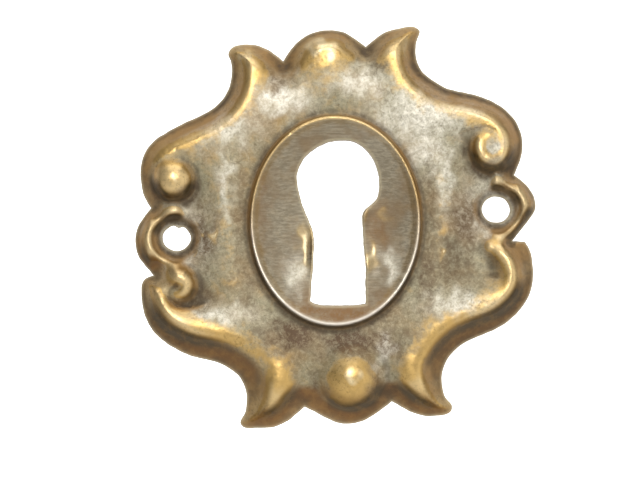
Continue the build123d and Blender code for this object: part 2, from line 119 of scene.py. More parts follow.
# The outline, clockwise from the notch above the left ear: width of the rolled edge, then its points.
OUTLINE = [
    # upper left scroll and horn
    (2.5, [
        (-20.75, 1.75), (-21.5, 3.1), (-21.85, 4.6), (-21.9, 6.2), (-21.5, 7.8), (-20.6, 9.1),
        (-18.9, 10.3), (-17, 11.3), (-15, 12.2), (-13.4, 13.25), (-12.4, 14.45), (-11.85, 15.8),
        (-11.7, 17.2), (-11.85, 18.3), (-12.1, 18.95), (-11.9, 19.5), (-11.1, 19.98), (-10, 20.1),
        (-8.6, 19.9), (-7.2, 19.2), (-5.95, 18.2),
    ]),
    # top lobe
    (2.3, [
        (-5.95, 18.2), (-5.3, 19.25), (-4.2, 20.45), (-2.8, 21.33), (-1, 21.68), (0.8, 21.45),
        (2.1, 20.7), (3.3, 19.83),
    ]),
    # upper right horn and scroll
    (2.4, [
        (3.3, 19.83), (4.2, 20.6), (5.6, 21.5), (7.2, 21.93), (8.9, 21.97), (9.35, 21.6), (9.15, 20.9),
        (8.9, 19.8), (8.98, 18.4), (9.6, 17.1), (10.9, 15.98), (12.6, 15.1), (14.8, 14.6), (16.8, 14),
        (18.75, 12.9), (20.1, 11.4), (20.78, 9.6), (20.75, 7.8), (19.9, 5.45),
    ]),
    # right ear
    (1.5, [
        (19.9, 5.45), (20.95, 4.65), (21.8, 3.65), (22.25, 2.6), (22.25, 1.65), (21.75, 0.7),
        (20.65, -0.7), (19.7, -1.93),
    ]),
    # step under the right ear
    (0.25, [
        (19.7, -1.93), (21.12, -1.97),
    ]),
    # lower right scroll and horn
    (2.9, [
        (21.12, -1.97), (21.7, -3.1), (22, -4.8), (21.97, -6.5), (21.5, -8.2), (20.45, -9.75),
        (19.05, -11.05), (17, -12.17), (15, -13), (13.5, -13.95), (12.45, -15.15), (11.87, -16.6),
        (11.9, -18.4), (12.4, -19.65), (12.95, -20.45), (12.8, -21.03), (11.8, -21.43), (10.3, -21.55),
        (8.6, -21.15), (7.2, -20.45), (6.2, -19.88),
    ]),
    # bottom lobe
    (2.4, [
        (6.2, -19.88), (4.9, -20.9), (3.2, -21.95), (1.3, -22.4), (-0.6, -22), (-2.2, -21.15),
        (-3.55, -20.48),
    ]),
    # lower left horn and scroll
    (3.1, [
        (-3.55, -20.48), (-4.3, -21.15), (-5.6, -22.15), (-7.4, -22.8), (-9.3, -22.87),
        (-10.5, -22.68), (-10.75, -22.3), (-10.35, -21.4), (-10.05, -20.2), (-10.15, -18.6),
        (-10.85, -17.15), (-12.1, -16.1), (-14, -15.32), (-16, -14.87), (-18.2, -13.87),
        (-19.97, -12.6), (-21.12, -11), (-21.7, -9.1), (-21.82, -7.3), (-21.55, -6.3), (-20.45, -5.78),
    ]),
    # left ear
    (1.5, [
        (-20.45, -5.78), (-21.35, -4.75), (-22.1, -3.7), (-22.48, -2.3), (-22.4, -0.9), (-21.88, 0.25),
        (-20.75, 1.75),
    ]),
]
# The keyhole, clockwise from the lower left corner.
KEYHOLE = [
    [
        (-2.95, -8.6), (-2.7, -6), (-2.5, -2.4), (-2.6, -1), (-3.15, 0.5), (-3.85, 2.3), (-4.3, 4),
        (-4.4, 5.4), (-3.95, 6.8), (-2.8, 8.1), (-1.2, 9), (0.7, 9.35), (2.2, 9.05), (3.55, 8),
        (4.5, 6.3), (4.8, 4.4), (4.55, 2.95), (3.75, 2.1), (3.1, 1.5), (2.9, 0.3), (3, -1.5),
        (3.1, -3.2), (3.25, -4.7), (3.25, -6.2), (3.28, -8.95),
    ],
    [
        (3.28, -8.95), (1, -9.15), (-1.2, -9.1), (-2.3, -8.97), (-2.95, -8.6),
    ],
]
# Raised rolls: x, z, height, section radius on the outer side and on the inner side.
ROLLS = {
    "lower left": [
        (-10.1, -22, 1.9, 1.2, 2), (-8.8, -21, 2.4, 1.6, 1.7), (-7.5, -19.7, 2.8, 1.8, 1.7),
        (-6.7, -18.2, 3.1, 1.9, 1.9), (-6.4, -16.8, 3.2, 2, 2.4), (-6.8, -15.2, 3.1, 2.2, 3.6),
        (-8, -13.8, 3, 2.3, 5), (-9.5, -12.8, 3, 2, 5), (-11.5, -12.1, 3.1, 1.7, 4.5),
        (-13.5, -11.8, 3.2, 1.5, 3.6), (-15.5, -11.5, 3.3, 1.4, 3), (-17.2, -11, 3.4, 1.3, 2.2),
        (-18.6, -10.2, 3.4, 1.25, 1.5), (-19.6, -9.2, 3.4, 1.1, 1), (-20.1, -8.2, 3.35, 1, 0.9),
        (-20.1, -7.2, 3.25, 0.9, 0.8), (-19.6, -6.4, 3.25, 0.85, 0.9), (-18.8, -5.9, 3.25, 0.8, 0.9),
        (-17.8, -5.8, 3.3, 0.75, 0.9), (-16.95, -6.15, 3.3, 0.75, 0.9), (-16.65, -6.8, 3.2, 0.7, 0.8),
        (-17, -7.5, 3.1, 0.7, 0.7), (-17.5, -7.8, 2.9, 0.6, 0.6),
    ],
    "lower right": [
        (17.2, -2.6, 2.7, 0.7, 0.7), (18.2, -3.2, 3.1, 0.8, 0.9), (19, -4.1, 3.3, 0.9, 1.1),
        (19.5, -5.2, 3.4, 1, 1.4), (19.6, -6.3, 3.45, 1.1, 1.7), (19.1, -7.4, 3.4, 1.2, 2.2),
        (18.1, -8.3, 3.35, 1.3, 2.8), (16.8, -9, 3.3, 1.4, 3.4), (15, -9.6, 3.2, 1.5, 4),
        (13, -10.3, 3.1, 1.7, 4.5), (11.3, -11.3, 3.1, 1.9, 5), (9.9, -12.7, 3.1, 2, 5),
        (8.9, -14.1, 3.1, 2, 4.5), (8.35, -15.6, 3.15, 1.9, 2.6), (8.6, -16.9, 3.1, 1.8, 1.9),
        (9.4, -18.1, 3, 1.7, 1.6), (10.4, -19.2, 2.7, 1.5, 1.5), (11.4, -20.1, 2.3, 1.3, 1.5),
        (12.3, -20.6, 1.8, 1.1, 1.6),
    ],
    "upper right": [
        (9.6, 12.3, 2.95, 2.8, 5), (12, 12.4, 3.05, 2.5, 5), (14, 12.4, 3.1, 2.2, 4.5),
        (16, 12.1, 3.15, 2, 4), (17.5, 11.5, 3.2, 1.7, 3.6), (18.5, 10.6, 3.25, 1.5, 3.4),
        (19.0, 9.6, 3.2, 1.3, 3.4), (19.0, 8.5, 3.2, 1.1, 3.2), (18.6, 7.6, 3.25, 0.9, 2.8),
        (17.7, 7.1, 3.35, 0.65, 2.4), (16.8, 7.1, 3.45, 0.55, 2), (16.1, 7.6, 3.5, 0.5, 1.8),
        (15.85, 8.4, 3.5, 0.5, 1.8), (16, 9.2, 3.4, 0.55, 2), (16.6, 9.75, 3.2, 0.6, 2.2),
    ],
    "upper left": [
        (-20.0, 6.9, 2.5, 2, 3), (-19.2, 7.9, 2.5, 2.4, 4), (-17.8, 8.8, 2.5, 2.8, 5),
        (-15.9, 9.6, 2.55, 3.2, 5.5), (-13.9, 10.4, 2.65, 3.4, 6), (-12.1, 11.6, 2.75, 3.4, 6),
        (-10.7, 13.3, 2.85, 3.2, 5.5), (-9.8, 15.1, 2.85, 2.8, 5), (-9.6, 16.8, 2.75, 2.4, 4),
        (-10.0, 18.0, 2.55, 1.9, 3), (-11.0, 19.0, 2.1, 1.4, 2),
    ],
    "upper right horn": [
        (8.5, 21.3, 1.9, 1.2, 2), (7.4, 20.7, 2.4, 1.5, 2.8), (6.7, 19.7, 2.8, 1.7, 3.4),
        (6.5, 18.3, 3, 1.9, 4), (6.7, 16.8, 3.1, 2.1, 4.5), (7.6, 15.2, 3.1, 2.4, 5),
        (9, 13.6, 3.1, 2.6, 5),
    ],
    "top lobe": [
        (-0.5, 16.6, 3.0, 7, 7), (-0.9, 17.9, 3.15, 6.5, 6.5), (-1.2, 19.2, 3.05, 5.5, 5.5),
    ],
}
# Height of the sheet between the rolls: (x, z, height).
RING = [
    (0, 15.6, 2.85), (4, 15.2, 2.85), (7.5, 13.8, 2.85), (10.2, 11.2, 2.85), (11.4, 8, 2.8),
    (11.7, 5, 2.75), (11.8, 2, 2.7), (11.8, -1, 2.65), (11.5, -4, 2.6), (10.9, -7, 2.6),
    (9.8, -9.5, 2.6), (8, -12, 2.6), (5, -13.9, 2.5), (1.2, -14.3, 2.4), (-3, -13.9, 2.5),
    (-6.5, -13.3, 2.7), (-9.2, -11.8, 2.75), (-11, -9.5, 2.65), (-11.9, -6.5, 2.6), (-12.2, -3, 2.6),
    (-12.2, 0, 2.65), (-12.1, 3, 2.7), (-11.9, 6, 2.75), (-11.2, 9.2, 2.8), (-9.8, 11.5, 2.85),
    (-7.5, 13.6, 2.85), (-4, 15.1, 2.85),
]
NOTCH_VALLEYS = [
    (-5.9, 18.2, 1.5), (-5.9, 17.2, 1.9), (-5.7, 16.0, 2.4), (3.2, 19.4, 1.6), (3.2, 18.2, 2.1),
    (3.5, 17.0, 2.55), (-3.4, -20, 1.6), (-3.1, -18.5, 1.95), (-3.1, -17, 2.15), (-3.4, -15.7, 2.35),
    (6.2, -19.5, 1.6), (5.9, -18, 1.95), (5.5, -16.5, 2.15), (5.2, -15.3, 2.35), (1.3, -21.4, 1.6),
    (4, -20.3, 1.5), (-1.2, -20.8, 1.5),
]
LEFT_FIELD = [
    (-16.5, 8, 2.4), (-15, 6, 2.35), (-14.2, 9, 2.6), (-14.6, 2.5, 2.15), (-15, 0, 2.05),
    (-15, -2.5, 2.05), (-15, -4.5, 2.05), (-17.8, -9.0, 2.2), (-16, -8.9, 2.0), (-15.2, -7.5, 1.9),
    (-15.5, -5.6, 1.9), (-14, -9.3, 2.25), (-18.5, -7.2, 2.55), (-17.5, -4.7, 1.9), (-19.8, -4.9, 1.8),
    (-16, 3.3, 1.7), (-18.3, 2.4, 1.6), (-20.6, 2.9, 1.6), (-15.6, 4.9, 2.0), (-13.8, 4.5, 2.45),
]
RIGHT_FIELD = [
    (17.5, -5.3, 2.15), (17.7, -6.7, 2.3), (16, -6.7, 2.1), (14, -7.5, 2.3), (14, -5, 2.15),
    (16, -4.2, 2.0), (14, -2, 2.1), (14, 1, 2.1), (14.3, 4, 2.1), (17.6, 8.7, 3.1), (14.5, 8.5, 2.15),
    (14.8, 10.3, 2.65), (16.3, 10.9, 2.95), (17.9, 10.2, 2.95), (14.9, 7.1, 2.0), (16.5, 6.0, 1.7),
    (18.7, 6.2, 1.6), (15.5, -2.4, 1.9), (17.8, -2.0, 1.7), (19.8, 5.8, 1.6),
]
BEYOND_EDGE = [
    (-22, 9, 1.8), (-17, 13, 1.8), (-13, 17, 1.7), (-12, 21, 1.4), (-8, 21, 1.7), (-4, 22, 1.8),
    (0, 23, 1.8), (5, 22.5, 1.8), (9, 23, 1.5), (10.5, 19, 1.7), (13, 17, 1.9), (18, 15, 1.9),
    (22, 11, 1.9), (22.5, 7, 2.0), (23, 3, 2.0), (22, -0.5, 2.0), (23, -6, 1.9), (21, -12, 1.9),
    (16, -15, 1.9), (13.5, -18, 1.7), (13, -22.5, 1.4), (9, -22.5, 1.7), (1.3, -24, 1.5), (-8, -24, 1.7),
    (-12, -22, 1.5), (-12.5, -18, 1.7), (-18, -16, 1.9), (-22.5, -12, 1.9), (-23.2, -8, 1.9),
    (-23.5, -2, 2.0), (-22.8, 4, 2.0),
]
RIM_GROOVE_H = 2.25       # sheet height at the foot of the oval rim
RIM_GROOVE_TILT = 0.15    # the foot is this much higher at the top and lower at the bottom
RIM_GROOVE_POINTS = 36

# Round beads: x, z, radius at the foot, height of the top, softness of the joint, and the power of
# the dome (0.5 is a round one with steep sides, 1 is a flatter parabola).
BEADS = [(-18.1, 5.0, 2.5, 3.7, 0.8, 0.5), (1.7, -17.0, 3.8, 3.95, 1.4, 0.8)]
BEAD_FOOT_H = 1.4         # height from which both domes rise


def curve_points(points, step):
    """Points about one step apart on a natural cubic curve through the given ones."""
    p = np.array(points, float)
    t = np.concatenate([[0], np.cumsum(np.linalg.norm(np.diff(p[:, :2], axis=0), axis=1))])
    n = len(p)
    gap = np.diff(t)
    matrix = np.zeros((n, n))
    right = np.zeros((n, p.shape[1]))
    matrix[0, 0] = 1
    matrix[-1, -1] = 1
    for i in range(1, n - 1):
        matrix[i, i - 1:i + 2] = gap[i - 1], 2 * (gap[i - 1] + gap[i]), gap[i]
        right[i] = 6 * ((p[i + 1] - p[i]) / gap[i] - (p[i] - p[i - 1]) / gap[i - 1])
    bend = np.linalg.solve(matrix, right)
    s = np.linspace(0, t[-1], max(2, round(t[-1] / step) + 1))
    i = np.clip(np.searchsorted(t, s, side="right") - 1, 0, n - 2)
    g = gap[i][:, None]
    a = (t[i + 1] - s)[:, None]
    b = (s - t[i])[:, None]
    cubic = (bend[i] * a**3 + bend[i + 1] * b**3) / (6 * g)
    return cubic + (p[i] / g - bend[i] * g / 6) * a + (p[i + 1] / g - bend[i + 1] * g / 6) * b


def nearest(q, line):
    """Distance of each point to a line, the line's other values there, and whether q is on its left."""
    dist = np.full(len(q), np.inf)
    values = np.zeros((len(q), line.shape[1] - 2))
    left = np.zeros(len(q), bool)
    for a, b in zip(line[:-1], line[1:]):
        along = b[:2] - a[:2]
        rel = q - a[:2]
        t = np.clip(rel @ along / (along @ along), 0, 1)
        d = np.linalg.norm(rel - t[:, None] * along, axis=1)
        closer = d < dist
        dist[closer] = d[closer]
        values[closer] = a[2:] + t[closer, None] * (b[2:] - a[2:])
        left[closer] = (along[0] * rel[:, 1] - along[1] * rel[:, 0] > 0)[closer]
    return dist, values, left


def ramp(t):
    """Smooth step from 0 to 1."""
    t = np.clip(t, 0, 1)
    return t * t * (3 - 2 * t)


def soft_max(a, b, k):
    """The higher of two heights, with the crease between them rounded over k."""
    h = np.clip(0.5 + 0.5 * (a - b) / k, 0, 1)
    return b + (a - b) * h + k * h * (1 - h)


def plate_kernel(a, b):
    """Bending of a thin plate: one row for each point of a, one column for each point of b."""
    d2 = ((a[:, None] - b[None])**2).sum(2)
    return 0.5 * d2 * np.log(np.maximum(d2, 1e-12))


def sheet_height(q):
    """Height of the bent sheet, a thin-plate surface through the field points."""
    groove = []
    for k in range(RIM_GROOVE_POINTS):
        a = 2 * math.pi * k / RIM_GROOVE_POINTS
        x = OVAL_X + (OVAL_A + RIM_FOOT) * math.cos(a)
        z = OVAL_Z + (OVAL_B + RIM_FOOT) * math.sin(a)
        groove.append((x, z, RIM_GROOVE_H + RIM_GROOVE_TILT * math.sin(a)))
    points = np.array(RING + NOTCH_VALLEYS + LEFT_FIELD + RIGHT_FIELD + BEYOND_EDGE + groove)
    place = points[:, :2]
    n = len(points)
    matrix = np.zeros((n + 3, n + 3))
    matrix[:n, :n] = plate_kernel(place, place) + SHEET_EASE * np.eye(n)
    matrix[:n, n] = 1
    matrix[n, :n] = 1
    matrix[:n, n + 1:] = place
    matrix[n + 1:, :n] = place.T
    w = np.linalg.solve(matrix, np.concatenate([points[:, 2], np.zeros(3)]))
    return plate_kernel(q, place) @ w[:n] + w[n] + q @ w[n + 1:]


def edge_u(q):
    """0 at the outline, 1 where the rolled edge has reached its full height."""
    u = np.ones(len(q))
    for width, points in OUTLINE:
        dist = nearest(q, curve_points(points, 0.4))[0]
        u = np.minimum(u, dist / width)
    return u


def edge_rise(q):
    """Share of the full height that the rolled edge has reached."""
    return ramp(edge_u(q))**EDGE_POWER


def add_rolls(q, h):
    """Raised rolls with a round section, wider or narrower on each side of the crest."""
    for points in ROLLS.values():
        dist, values, left = nearest(q, curve_points(points, 0.4))
        radius = np.where(left, values[:, 1], values[:, 2])
        h = soft_max(values[:, 0] - dist**2 / (2 * radius), h, ROLL_BLEND)
    return h


def add_ear_rings(q, h):
    """Raised ring round each fixing hole, on the outer side."""
    for name, (x, z) in HOLES.items():
        r = np.hypot(q[:, 0] - x, q[:, 1] - z)
        outward = math.copysign(1, x)
        fade = 1 - ramp(((q[:, 0] - x) * outward + EAR_RING_FADE) / EAR_RING_FADE)
        ring = EAR_RING_H - (r - EAR_RING_R[name])**2 / (2 * EAR_RING_ROUND) - EAR_RING_FALL * fade
        h = soft_max(ring, h, ROLL_BLEND)
    return h


def add_beads(q, h):
    """The two round beads."""
    for x, z, radius, top, blend, power in BEADS:
        u = ((q[:, 0] - x)**2 + (q[:, 1] - z)**2) / radius**2
        dome = BEAD_FOOT_H + (top - BEAD_FOOT_H) * np.clip(1 - u, 0, 1)**power
        h = soft_max(dome - 2 * np.clip(u - 1, 0, 9), h, blend)
    return h


def sink_seats(q, h):
    """Flat seat round each fixing hole, at the height of the outline."""
    for x, z in HOLES.values():
        r = np.hypot(q[:, 0] - x, q[:, 1] - z)
        h = EDGE_H + (h - EDGE_H) * ramp((r - SEAT_R) / (SEAT_SLOPE_R - SEAT_R))
    return h


def waves(q, size, seed, count=28):
    """Smooth random field with features about size across; its spread is about 1."""
    rng = np.random.default_rng(seed)
    turn = rng.uniform(0, 2 * math.pi, count)
    pitch = 2 * math.pi / size * rng.uniform(0.55, 1.45, count)
    phase = rng.uniform(0, 2 * math.pi, count)
    total = np.zeros(len(q))
    for a, k, p in zip(turn, pitch, phase):
        total += np.sin(k * (q[:, 0] * math.cos(a) + q[:, 1] * math.sin(a)) + p)
    return total / math.sqrt(count / 2)


def dish_height(u):
    """Height of the dish, u = 0 in the middle and 1 at the rim crest."""
    return DISH_H + (RIM_H - DISH_H) * np.clip(u, 0, 1)**DISH_POWER


def oval_u(q):
    """0 in the middle of the oval and 1 at the rim crest."""
    return np.hypot((q[:, 0] - OVAL_X) / OVAL_A, (q[:, 1] - OVAL_Z) / OVAL_B)


def mask(q, x, z, sx, sz):
    """Soft spot of half widths sx and sz."""
    return np.exp(-((q[:, 0] - x) / sx)**2 - ((q[:, 1] - z) / sz)**2)


class Rims:
    """The closed cut edges: the outline, the keyhole and the two fixing holes."""

    def __init__(self):
        outline = np.concatenate([curve_points(p, EDGE_STEP)[:-1] for _, p in OUTLINE])
        keyhole = np.concatenate([curve_points(p, EDGE_STEP)[:-1] for p in KEYHOLE])
        self.loops = [
            self.worn(outline, CUT_WEAR["outline"], 5), self.worn(keyhole, CUT_WEAR["keyhole"], 6),
        ]
        a = np.arange(HOLE_POINTS) * 2 * math.pi / HOLE_POINTS
        for i, (name, (x, z)) in enumerate(HOLES.items()):
            rx, rz = HOLE_SIZE[name]
            ring = np.stack([x + rx * np.cos(a), z + rz * np.sin(a)], 1)
            if name == "left":
                direction, width, height = BURR
                ring[:, 1] -= height * np.exp(-((a - direction) / width)**2)
            self.loops.append(self.worn(ring, CUT_WEAR["hole"], 7 + i))

    @staticmethod
    def worn(loop, amount, seed):
        """The loop with its points nudged a little into the metal and back."""
        return loop + sideways(loop) * (amount * waves(loop, CUT_WEAR_SIZE, seed) * 0.5)[:, None]

    def distance(self, q, which):
        """Distance of each point to one of the cut edges."""
        loop = self.loops[which]
        closed = np.concatenate([loop, loop[:1]])
        return nearest(q, closed)[0]


def sideways(loop):
    """Unit step to the right of the way along a closed loop, at each of its points."""
    ahead = np.roll(loop, -1, 0) - np.roll(loop, 1, 0)
    return np.stack([ahead[:, 1], -ahead[:, 0]], 1) / np.linalg.norm(ahead, axis=1)[:, None]


def inside(q, loop):
    """True for the points that lie inside a closed loop."""
    result = np.zeros(len(q), bool)
    for (x1, z1), (x2, z2) in zip(loop, np.roll(loop, -1, 0)):
        if z1 != z2:
            level = (z1 > q[:, 1]) != (z2 > q[:, 1])
            result ^= level & (q[:, 0] < (x2 - x1) * (q[:, 1] - z1) / (z2 - z1) + x1)
    return result


def front_height(q, rims):
    """Height of the worn front, and the distance to the nearest cut edge."""
    h = add_rolls(q, sheet_height(q))
    h = add_ear_rings(q, h)
    h = add_beads(q, h)
    h = EDGE_H + (h - EDGE_H) * edge_rise(q)
    h = sink_seats(q, h)
    u = oval_u(q)
    out = (u - 1) * (OVAL_A + OVAL_B) / 2
    rim_top = RIM_H - RIM_EASE_H * ramp(out / RIM_EASE_W)
    wall = rim_top - (rim_top - h) * ramp((out - RIM_FLAT) / (RIM_FOOT - RIM_FLAT))
    cuts = [rims.distance(q, i) for i in range(len(rims.loops))]
    cut = np.minimum.reduce(cuts)
    keyhole_cut = cuts[1]
    dish = dish_height(u)
    for x, z, sx, sz, height, reach in LIPS:
        dish = dish + height * mask(q, x, z, sx, sz) * np.exp(-(keyhole_cut / reach)**2)
    h = np.where(u < 1, dish, wall)
    in_dish = ramp((1 - u) / 0.03)
    swell = SWELL_H * waves(q, SWELL_SIZE, 11)
    ripple = RIPPLE_H * waves(q, RIPPLE_SIZE, 12) * (1 - 0.7 * in_dish)
    pits = np.clip(waves(q, PIT_SIZE, 13) - 1.1, 0, 1)          # only the highest waves make pits
    pits *= np.clip(waves(q, PIT_PATCH_SIZE, 14) + 0.35, 0, 1)  # which gather in patches
    h = h + swell + ripple - PIT_H * pits * (1 - 0.8 * in_dish)
    rounding = np.clip(1 - cut / CUT_ROUND, 0, 1)
    return h - CUT_ROUND * (1 - np.sqrt(1 - rounding**2)), cut


def scatter(step, rims, rows, seed):
    """Points inside the plate: a jittered triangular lattice, with rows along the cut edges and the rim.

    Without rows, the lattice runs right up to the cut edges and over the rim.
    """
    rng = np.random.default_rng(seed)
    x = np.arange(-23, 23.4, step)
    z = np.arange(-23.4, 22.8, step * math.sqrt(3) / 2)
    gx, gz = np.meshgrid(x, z)
    gx[1::2] += step / 2
    lattice = np.stack([gx.ravel(), gz.ravel()], 1)
    lattice += rng.uniform(-JITTER, JITTER, lattice.shape) * step
    keep = inside(lattice, rims.loops[0])
    for loop in rims.loops[1:]:
        keep &= ~inside(lattice, loop)
    lattice = lattice[keep]
    cut = np.minimum.reduce([rims.distance(lattice, i) for i in range(len(rims.loops))])
    out = (oval_u(lattice) - 1) * (OVAL_A + OVAL_B) / 2
    if not rows:
        return lattice[cut > 0.6 * EDGE_STEP]
    keep = (cut > rows[-1] + 0.6 * step) & ((out < RIM_CLEAR[0]) | (out > RIM_CLEAR[1]))
    points = [lattice[keep]]
    for which, loop in enumerate(rims.loops):
        side = into_metal(loop, which, rims)
        for row in rows:
            line = loop + side * row
            ok = rims.distance(line, which) > 0.93 * row     # drops points that crowd in a corner
            points.append(line[ok])
    for off in RIM_ROWS:
        a_len, b_len = OVAL_A + off, OVAL_B + off
        n = int(2 * math.pi * math.sqrt((a_len**2 + b_len**2) / 2) / EDGE_STEP)
        a = (np.arange(n) + 0.5 * (len(points) % 2)) * 2 * math.pi / n
        points.append(np.stack([OVAL_X + a_len * np.cos(a), OVAL_Z + b_len * np.sin(a)], 1))
    return np.concatenate(points)


def into_metal(loop, which, rims):
    """Unit step from a cut edge into the metal, at each of its points."""
    side = sideways(loop)
    probe = loop[:1] + side[:1] * 0.02
    off_plate = not inside(probe, rims.loops[0])[0]
    in_hole = which > 0 and inside(probe, loop)[0]
    return -side if off_plate or in_hole else side


def triangles(points, rims):
    """Triangles of the plate's outline over the rim points followed by the scattered ones."""
    border = np.concatenate(rims.loops)
    edges = []
    start = 0
    for loop in rims.loops:
        n = len(loop)
        edges += [(start + i, start + (i + 1) % n) for i in range(n)]
        start += n
    every = np.concatenate([border, points])
    result = delaunay_2d_cdt([Vector(p) for p in every.tolist()], edges, [], 0, 1e-5)
    place = np.array([tuple(v) for v in result[0]])
    faces = np.array(result[2])
    middle = place[faces].mean(1)
    keep = inside(middle, rims.loops[0])
    for loop in rims.loops[1:]:
        keep &= ~inside(middle, loop)
    faces = faces[keep]
    a, b, c = place[faces[:, 0]], place[faces[:, 1]], place[faces[:, 2]]
    turn = (b[:, 0] - a[:, 0]) * (c[:, 1] - a[:, 1]) - (b[:, 1] - a[:, 1]) * (c[:, 0] - a[:, 0])
    faces[turn < 0] = faces[turn < 0][:, ::-1]
    faces = faces[abs(turn) > 1e-9]
    return place, faces


# Soft patches on the front: x, z, half width, half height, strength. The brown ones are partly real
# stains and partly painted shade round the beads, below the volute and in the notch valleys. The pale
# ones are partly worn metal and partly a painted sheen. The golden ones are partly polished wear and
# partly painted glints.
STAINS_AND_SHADE = [
    (10.4, 1.5, 1.0, 7.0, 0.5), (-4.6, -12.3, 4.2, 1.9, 1.0), (1.8, -13.0, 5.5, 2.0, 1.0),
    (-14.8, -1.6, 1.7, 3.0, 0.8), (13.0, -4.0, 2.6, 3.6, 0.65), (17.2, 6.3, 3.0, 0.9, 0.9),
    (-6.2, 16.6, 1.0, 2.4, 0.6), (4.8, 18.0, 1.3, 1.8, 0.5), (-10.6, 0.0, 0.9, 8.0, 0.45),
    (-16.3, 2.8, 1.6, 0.9, 0.6), (-15.0, -8.2, 1.6, 1.4, 0.6), (5.2, -18.4, 1.0, 2.0, 0.6),
    (-2.4, -18.6, 1.3, 2.0, 0.7), (15.6, 0.6, 1.2, 3.2, 0.4), (4.6, -0.8, 1.2, 2.4, 0.6),
    (10.0, -5.5, 1.2, 4.5, 0.7), (-9.6, -7.0, 1.0, 3.0, 0.6), (-8.3, 4.0, 0.8, 5.0, 0.4),
    (0.4, -9.8, 6.0, 1.9, 1.0), (14.2, 0.2, 1.9, 3.4, 0.75), (4.2, -17.7, 0.8, 1.9, 0.9),
]
PALE_WEAR_AND_SHEEN = [
    (-6.2, 13.8, 3.2, 1.6, 0.9), (9.2, 12.0, 4.6, 3.0, 0.95), (2.6, 15.6, 3.2, 1.5, 0.7),
    (5.4, -14.4, 0.8, 1.8, 0.8), (-12.4, 4.8, 0.8, 3.6, 0.6), (12.2, 5.6, 0.9, 4.2, 0.6),
    (-13.8, -10.1, 4.0, 1.0, 0.7), (14.0, -9.0, 3.8, 1.3, 0.7), (17.6, 8.6, 1.3, 1.2, 0.6),
    (6.0, -4.6, 0.9, 1.5, 0.95), (-4.5, -5.8, 1.0, 1.7, 0.8), (-17.9, -1.6, 3.4, 3.4, 0.7),
    (9.7, 8.4, 2.0, 2.6, 0.8), (17.9, 1.8, 3.6, 3.6, 0.7), (-13.2, 11.0, 4.0, 2.0, 0.7),
    (14.0, 12.8, 4.2, 1.5, 0.7),
]
GOLD_WEAR_AND_GLINT = [
    (-1.4, 19.5, 3.0, 1.7, 0.9), (-10.6, 18.6, 1.7, 1.3, 0.8), (-19.3, 8.0, 1.6, 1.8, 0.5),
    (7.6, 20.2, 1.3, 1.4, 0.7), (12.0, -20.6, 1.6, 1.0, 0.6), (-8.0, -20.4, 1.4, 1.6, 0.5),
    (1.7, -16.9, 1.7, 1.7, 0.8), (-18.1, 5.0, 1.3, 1.3, 0.8), (17.8, -2.7, 0.9, 0.9, 0.7),
    (-19.6, -7.5, 1.2, 2.2, 0.5), (-3.5, -2.6, 0.75, 2.5, 1.0), (3.9, -3.2, 0.7, 1.8, 0.9),
    (5.3, 0.9, 0.8, 0.5, 0.6), (-15.05, -1.3, 0.35, 0.3, 0.9), (-13.6, -1.4, 0.35, 0.5, 0.9),
    (11.8, -3.0, 0.3, 0.35, 0.9),
]


def spots(q, table):
    """Strength of the soft patches at the points q, with ragged borders."""
    shifted = q + 0.35 * np.stack([waves(q, 2.2, 31), waves(q, 2.2, 32)], 1)
    total = np.zeros(len(q))
    for x, z, sx, sz, amount in table:
        total = np.maximum(total, amount * mask(shifted, x, z, sx, sz))
    return total


# The grid on which the back and the wear are worked out.
GRID = 0.15
GRID_X = np.arange(-23.4, 23.55, GRID)
GRID_Z = np.arange(-23.7, 23.1, GRID)


def grid_points():
    """All crossings of the grid, and the grid's shape."""
    gx, gz = np.meshgrid(GRID_X, GRID_Z)
    return np.stack([gx.ravel(), gz.ravel()], 1), gx.shape


def sample(grid, q):
    """Grid values at the points q, bilinear."""
    fx = np.clip((q[:, 0] - GRID_X[0]) / GRID, 0, len(GRID_X) - 1.001)
    fz = np.clip((q[:, 1] - GRID_Z[0]) / GRID, 0, len(GRID_Z) - 1.001)
    i, j = fx.astype(int), fz.astype(int)
    u, v = fx - i, fz - j
    low = grid[j, i] * (1 - u) + grid[j, i + 1] * u
    high = grid[j + 1, i] * (1 - u) + grid[j + 1, i + 1] * u
    return low * (1 - v) + high * v


def blurred(grid, size):
    """Grid blurred with a bell of the given spread in mm."""
    reach = int(3 * size / GRID)
    bell = np.exp(-0.5 * (np.arange(-reach, reach + 1) * GRID / size)**2)
    bell /= bell.sum()
    wide = np.pad(grid, reach, mode="edge")
    wide = np.apply_along_axis(lambda r: np.convolve(r, bell, "valid"), 0, wide)
    return np.apply_along_axis(lambda r: np.convolve(r, bell, "valid"), 1, wide)


def rolled_under(front):
    """Height of the back: a ball as big as the sheet is thick, rolled under the front."""
    reach = int(SHEET_T / GRID)
    back = np.full_like(front, np.inf)
    for i in range(-reach, reach + 1):
        for j in range(-reach, reach + 1):
            d2 = (i * i + j * j) * GRID * GRID
            if d2 < SHEET_T**2:
                moved = np.roll(front, (i, j), (0, 1))
                back = np.minimum(back, moved - math.sqrt(SHEET_T**2 - d2))
    return np.clip(back - CONTACT_DROP, 0, None)


def wall_faces(loops, shift):
    """Quads between each cut edge's front points and its back points, shift further on in the list."""
    faces = []
    start = 0
    for which, loop in enumerate(loops):
        n = len(loop)
        x, z = loop[:, 0], loop[:, 1]
        clockwise = np.sum(x * np.roll(z, -1) - np.roll(x, -1) * z) < 0
        outer = which == 0
        for i in range(n):
            a, b = start + i, start + (i + 1) % n
            wall = (a, b, b + shift, a + shift)
            faces.append(wall if clockwise == outer else wall[::-1])
        start += n
    return faces


